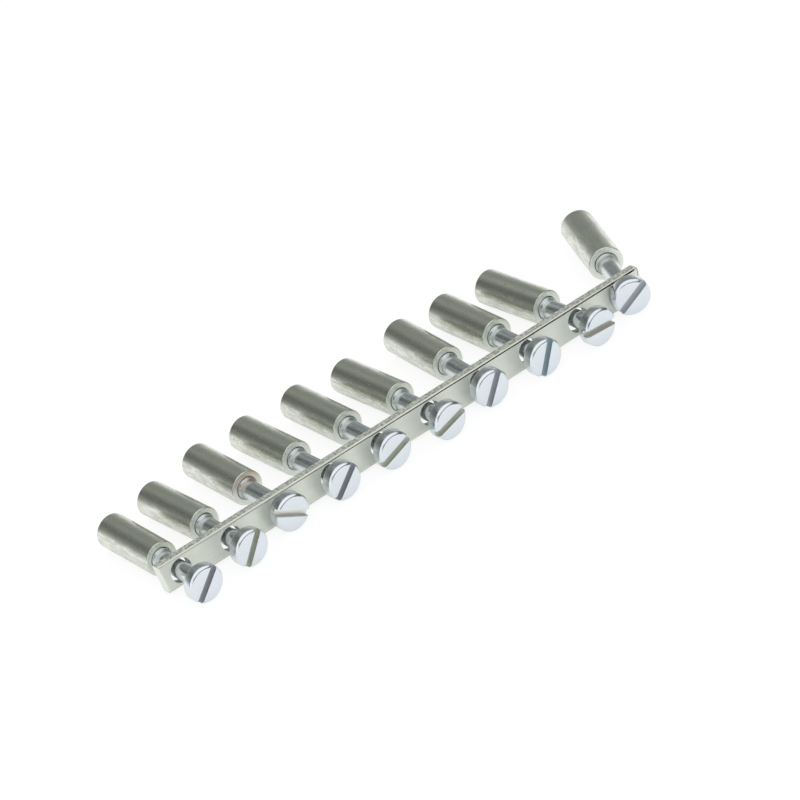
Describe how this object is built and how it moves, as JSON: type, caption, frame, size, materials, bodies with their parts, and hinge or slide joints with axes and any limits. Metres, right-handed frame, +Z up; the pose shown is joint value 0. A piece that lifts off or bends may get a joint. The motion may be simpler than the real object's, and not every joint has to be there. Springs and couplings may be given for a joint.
{
  "type": "terminal block jumper bar",
  "caption": "Flat plated jumper bar for rail-mounted terminal blocks, with a captive slotted cheese-head screw and a plain spacer sleeve at each pole.",
  "frame": {"origin": "under the middle of the lying part's bounding box, on the surface that it lies on", "axes": "+X along the bar, +Y from the screw heads to the sleeves, +Z up from the surface"},
  "size_m": [0.085, 0.0246, 0.0051],
  "materials": {
    "bar": "tin-plated, sheared strip",
    "screw": "blue-passivated zinc",
    "sleeve": "satin nickel plate"
  },
  "bodies": {
    "bar": {"jumper_bar": "bar"},
    "sleeve_01": {"sleeve_01": "sleeve"},
    "screw_01": {"screw_01": "screw"},
    "sleeve_02": {"sleeve_02": "sleeve"},
    "screw_02": {"screw_02": "screw"},
    "sleeve_03": {"sleeve_03": "sleeve"},
    "screw_03": {"screw_03": "screw"},
    "sleeve_04": {"sleeve_04": "sleeve"},
    "screw_04": {"screw_04": "screw"},
    "sleeve_05": {"sleeve_05": "sleeve"},
    "screw_05": {"screw_05": "screw"},
    "sleeve_06": {"sleeve_06": "sleeve"},
    "screw_06": {"screw_06": "screw"},
    "sleeve_07": {"sleeve_07": "sleeve"},
    "screw_07": {"screw_07": "screw"},
    "sleeve_08": {"sleeve_08": "sleeve"},
    "screw_08": {"screw_08": "screw"},
    "sleeve_09": {"sleeve_09": "sleeve"},
    "screw_09": {"screw_09": "screw"},
    "sleeve_10": {"sleeve_10": "sleeve"},
    "screw_10": {"screw_10": "screw"}
  },
  "joints": [
    {"name": "slide_01", "type": "slide", "parent": "bar", "child": "sleeve_01", "axis": [-0.0468, -0.9988, 0.0114], "range_m": [-0.004, 0.00225]},
    {"name": "turn_01", "type": "hinge", "parent": "sleeve_01", "child": "screw_01", "pos_m": [-0.03966, -0.01059, 0.00255], "axis": [-0.0468, -0.9988, 0.0114], "continuous": true},
    {"name": "slide_02", "type": "slide", "parent": "bar", "child": "sleeve_02", "axis": [0, -0.9999, 0.0114], "range_m": [-0.00271, 0.00359]},
    {"name": "turn_02", "type": "hinge", "parent": "sleeve_02", "child": "screw_02", "pos_m": [-0.03123, -0.00927, 0.00255], "axis": [0, -0.9999, 0.0114], "continuous": true},
    {"name": "slide_03", "type": "slide", "parent": "bar", "child": "sleeve_03", "axis": [-0.0342, -0.9993, 0.0114], "range_m": [-0.00094, 0.00533]},
    {"name": "turn_03", "type": "hinge", "parent": "sleeve_03", "child": "screw_03", "pos_m": [-0.02309, -0.00752, 0.00255], "axis": [-0.0342, -0.9993, 0.0114], "continuous": true},
    {"name": "slide_04", "type": "slide", "parent": "bar", "child": "sleeve_04", "axis": [0.0072, -0.9999, 0.0114], "range_m": [-0.00123, 0.00507]},
    {"name": "turn_04", "type": "hinge", "parent": "sleeve_04", "child": "screw_04", "pos_m": [-0.01481, -0.00779, 0.00255], "axis": [0.0072, -0.9999, 0.0114], "continuous": true},
    {"name": "slide_05", "type": "slide", "parent": "bar", "child": "sleeve_05", "axis": [0, -0.9999, 0.0114], "range_m": [-0.00142, 0.00488]},
    {"name": "turn_05", "type": "hinge", "parent": "sleeve_05", "child": "screw_05", "pos_m": [-0.00663, -0.00798, 0.00255], "axis": [0, -0.9999, 0.0114], "continuous": true},
    {"name": "slide_06", "type": "slide", "parent": "bar", "child": "sleeve_06", "axis": [0.0414, -0.9991, 0.0114], "range_m": [-0.00229, 0.00398]},
    {"name": "turn_06", "type": "hinge", "parent": "sleeve_06", "child": "screw_06", "pos_m": [0.00171, -0.00887, 0.00255], "axis": [0.0414, -0.9991, 0.0114], "continuous": true},
    {"name": "slide_07", "type": "slide", "parent": "bar", "child": "sleeve_07", "axis": [-0.054, -0.9985, 0.0114], "range_m": [-0.00118, 0.00505]},
    {"name": "turn_07", "type": "hinge", "parent": "sleeve_07", "child": "screw_07", "pos_m": [0.00966, -0.00779, 0.00255], "axis": [-0.054, -0.9985, 0.0114], "continuous": true},
    {"name": "slide_08", "type": "slide", "parent": "bar", "child": "sleeve_08", "axis": [0.0144, -0.9998, 0.0114], "range_m": [-0.00176, 0.00453]},
    {"name": "turn_08", "type": "hinge", "parent": "sleeve_08", "child": "screw_08", "pos_m": [0.01801, -0.00833, 0.00255], "axis": [0.0144, -0.9998, 0.0114], "continuous": true},
    {"name": "slide_09", "type": "slide", "parent": "bar", "child": "sleeve_09", "axis": [0.0917, -0.9957, 0.0114], "range_m": [-0.00236, 0.00377]},
    {"name": "turn_09", "type": "hinge", "parent": "sleeve_09", "child": "screw_09", "pos_m": [0.02648, -0.00902, 0.00255], "axis": [0.0917, -0.9957, 0.0114], "continuous": true},
    {"name": "slide_10", "type": "slide", "parent": "bar", "child": "sleeve_10", "axis": [-0.3321, -0.9432, 0.0114], "range_m": [0, 0.00472]},
    {"name": "turn_10", "type": "hinge", "parent": "sleeve_10", "child": "screw_10", "pos_m": [0.03383, -0.00723, 0.00255], "axis": [-0.3321, -0.9432, 0.0114], "continuous": true}
  ]
}
